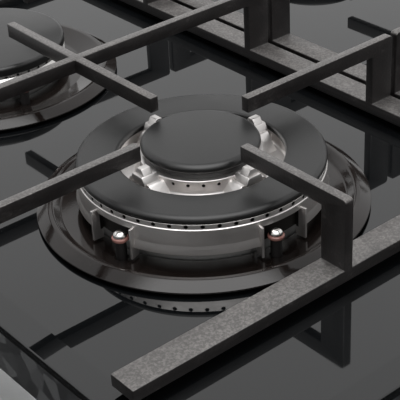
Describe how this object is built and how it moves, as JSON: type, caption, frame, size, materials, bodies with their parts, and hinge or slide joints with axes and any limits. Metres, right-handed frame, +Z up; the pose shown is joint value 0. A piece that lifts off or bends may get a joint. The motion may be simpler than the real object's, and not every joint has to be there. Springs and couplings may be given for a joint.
{
  "type": "gas cooktop",
  "caption": "Built-in gas cooktop: black glass top, triple-crown and round burners, cast-iron grates that lift off, push-and-turn knobs.",
  "frame": {"origin": "middle of the base pan's underside, which is the bottom centre of the whole hob", "axes": "+Z up, +X to the cook's right, +Y away from the cook"},
  "size_m": [0.58, 0.52, 0.106],
  "materials": {
    "black_glass": "polished, opaque black printed underside",
    "rubber_seal": "matte",
    "rubber_foot": "matte",
    "pan_steel": "zinc plated sheet",
    "screw_steel": "zinc plated",
    "stem_steel": "turned",
    "sensor_steel": "turned, polished tip",
    "brass": "machined",
    "ceramic_collar": "glazed pinkish ceramic",
    "cap_enamel": "satin black vitreous enamel",
    "ring_enamel": "satin dark grey vitreous enamel",
    "head_aluminium": "machined and cast, satin",
    "cup_aluminium": "cast",
    "grate_iron": "matte black enamel on cast iron",
    "bezel_metal": "brushed",
    "knob_plastic": "satin black",
    "tube_metal": "drawn",
    "copper_lead": "bare copper",
    "silicone_lead": "silicone sleeve",
    "module_plastic": "moulded",
    "gland_plastic": "moulded"
  },
  "bodies": {
    "hob": {"auxiliary_cup": "cup_aluminium", "auxiliary_drip_ring": "ring_enamel", "base_pan": "pan_steel", "cable_gland": "gland_plastic", "cross_channels": "pan_steel", "electrode_insulators": "ceramic_collar", "electrode_pins": "sensor_steel", "fixing_brackets": "pan_steel", "gas_rail": "pan_steel", "gas_taps": "brass", "gas_tubes": "tube_metal", "glass_top": "black_glass", "ignition_leads": "silicone_lead", "ignition_module": "module_plastic", "injectors": "brass", "inlet_fitting": "brass", "inlet_nut": "brass", "inlet_pipe": "tube_metal", "knob_bezels": "bezel_metal", "magnet_units": "screw_steel", "rapid_cup": "cup_aluminium", "rapid_drip_ring": "ring_enamel", "ring_seals": "rubber_seal", "screws": "screw_steel", "seal_strip": "rubber_seal", "semi_rapid_cup": "cup_aluminium", "semi_rapid_drip_ring": "ring_enamel", "stem_seals": "rubber_seal", "terminal_block": "module_plastic", "thermocouple_leads": "copper_lead", "thermocouples": "sensor_steel", "wok_cup": "cup_aluminium", "wok_drip_ring": "ring_enamel"},
    "left_grate": {"grate_frame_left": "grate_iron", "grate_fingers_left": "grate_iron", "grate_feet_left": "rubber_foot"},
    "right_grate": {"grate_frame_right": "grate_iron", "grate_fingers_right": "grate_iron", "grate_feet_right": "rubber_foot"},
    "wok_head": {"wok_head": "head_aluminium"},
    "rapid_head": {"rapid_head": "head_aluminium"},
    "semi_rapid_head": {"semi_rapid_head": "head_aluminium"},
    "auxiliary_head": {"auxiliary_head": "head_aluminium"},
    "wok_ring_cap": {"wok_ring_cap": "cap_enamel"},
    "wok_crown_cap": {"wok_crown_cap": "cap_enamel"},
    "rapid_cap": {"rapid_cap": "cap_enamel"},
    "semi_rapid_cap": {"semi_rapid_cap": "cap_enamel"},
    "auxiliary_cap": {"auxiliary_cap": "cap_enamel"},
    "tap_plug_1": {"valve_plug_1": "brass"},
    "knob_1": {"knob_1": "knob_plastic", "valve_stem_1": "stem_steel"},
    "tap_plug_2": {"valve_plug_2": "brass"},
    "knob_2": {"knob_2": "knob_plastic", "valve_stem_2": "stem_steel"},
    "tap_plug_3": {"valve_plug_3": "brass"},
    "knob_3": {"knob_3": "knob_plastic", "valve_stem_3": "stem_steel"},
    "tap_plug_4": {"valve_plug_4": "brass"},
    "knob_4": {"knob_4": "knob_plastic", "valve_stem_4": "stem_steel"}
  },
  "joints": [
    {"name": "left_grate_lift", "type": "slide", "parent": "hob", "child": "left_grate", "axis": [0, 0, 1], "range_m": [0, 0.06]},
    {"name": "right_grate_lift", "type": "slide", "parent": "hob", "child": "right_grate", "axis": [0, 0, 1], "range_m": [0, 0.06]},
    {"name": "wok_head_lift", "type": "slide", "parent": "hob", "child": "wok_head", "axis": [0, 0, 1], "range_m": [0, 0.0045]},
    {"name": "rapid_head_lift", "type": "slide", "parent": "hob", "child": "rapid_head", "axis": [0, 0, 1], "range_m": [0, 0.006]},
    {"name": "semi_rapid_head_lift", "type": "slide", "parent": "hob", "child": "semi_rapid_head", "axis": [0, 0, 1], "range_m": [0, 0.006]},
    {"name": "auxiliary_head_lift", "type": "slide", "parent": "hob", "child": "auxiliary_head", "axis": [0, 0, 1], "range_m": [0, 0.006]},
    {"name": "wok_ring_cap_lift", "type": "slide", "parent": "wok_head", "child": "wok_ring_cap", "axis": [0, 0, 1], "range_m": [0, 0.0045]},
    {"name": "wok_crown_cap_lift", "type": "slide", "parent": "wok_head", "child": "wok_crown_cap", "axis": [0, 0, 1], "range_m": [0, 0.0045]},
    {"name": "rapid_cap_lift", "type": "slide", "parent": "rapid_head", "child": "rapid_cap", "axis": [0, 0, 1], "range_m": [0, 0.006]},
    {"name": "semi_rapid_cap_lift", "type": "slide", "parent": "semi_rapid_head", "child": "semi_rapid_cap", "axis": [0, 0, 1], "range_m": [0, 0.006]},
    {"name": "auxiliary_cap_lift", "type": "slide", "parent": "auxiliary_head", "child": "auxiliary_cap", "axis": [0, 0, 1], "range_m": [0, 0.006]},
    {"name": "tap_turn_1", "type": "hinge", "parent": "hob", "child": "tap_plug_1", "pos_m": [-0.078, -0.222, 0.034], "axis": [0, 0, 1], "range_deg": [0, 210]},
    {"name": "knob_push_1", "type": "slide", "parent": "tap_plug_1", "child": "knob_1", "axis": [0, 0, -1], "range_m": [0, 0.0025], "stiffness_N_per_m": 600, "springref_m": -0.003},
    {"name": "tap_turn_2", "type": "hinge", "parent": "hob", "child": "tap_plug_2", "pos_m": [-0.026, -0.222, 0.034], "axis": [0, 0, 1], "range_deg": [0, 210]},
    {"name": "knob_push_2", "type": "slide", "parent": "tap_plug_2", "child": "knob_2", "axis": [0, 0, -1], "range_m": [0, 0.0025], "stiffness_N_per_m": 600, "springref_m": -0.003},
    {"name": "tap_turn_3", "type": "hinge", "parent": "hob", "child": "tap_plug_3", "pos_m": [0.026, -0.222, 0.034], "axis": [0, 0, 1], "range_deg": [0, 210]},
    {"name": "knob_push_3", "type": "slide", "parent": "tap_plug_3", "child": "knob_3", "axis": [0, 0, -1], "range_m": [0, 0.0025], "stiffness_N_per_m": 600, "springref_m": -0.003},
    {"name": "tap_turn_4", "type": "hinge", "parent": "hob", "child": "tap_plug_4", "pos_m": [0.078, -0.222, 0.034], "axis": [0, 0, 1], "range_deg": [0, 210]},
    {"name": "knob_push_4", "type": "slide", "parent": "tap_plug_4", "child": "knob_4", "axis": [0, 0, -1], "range_m": [0, 0.0025], "stiffness_N_per_m": 600, "springref_m": -0.003}
  ]
}
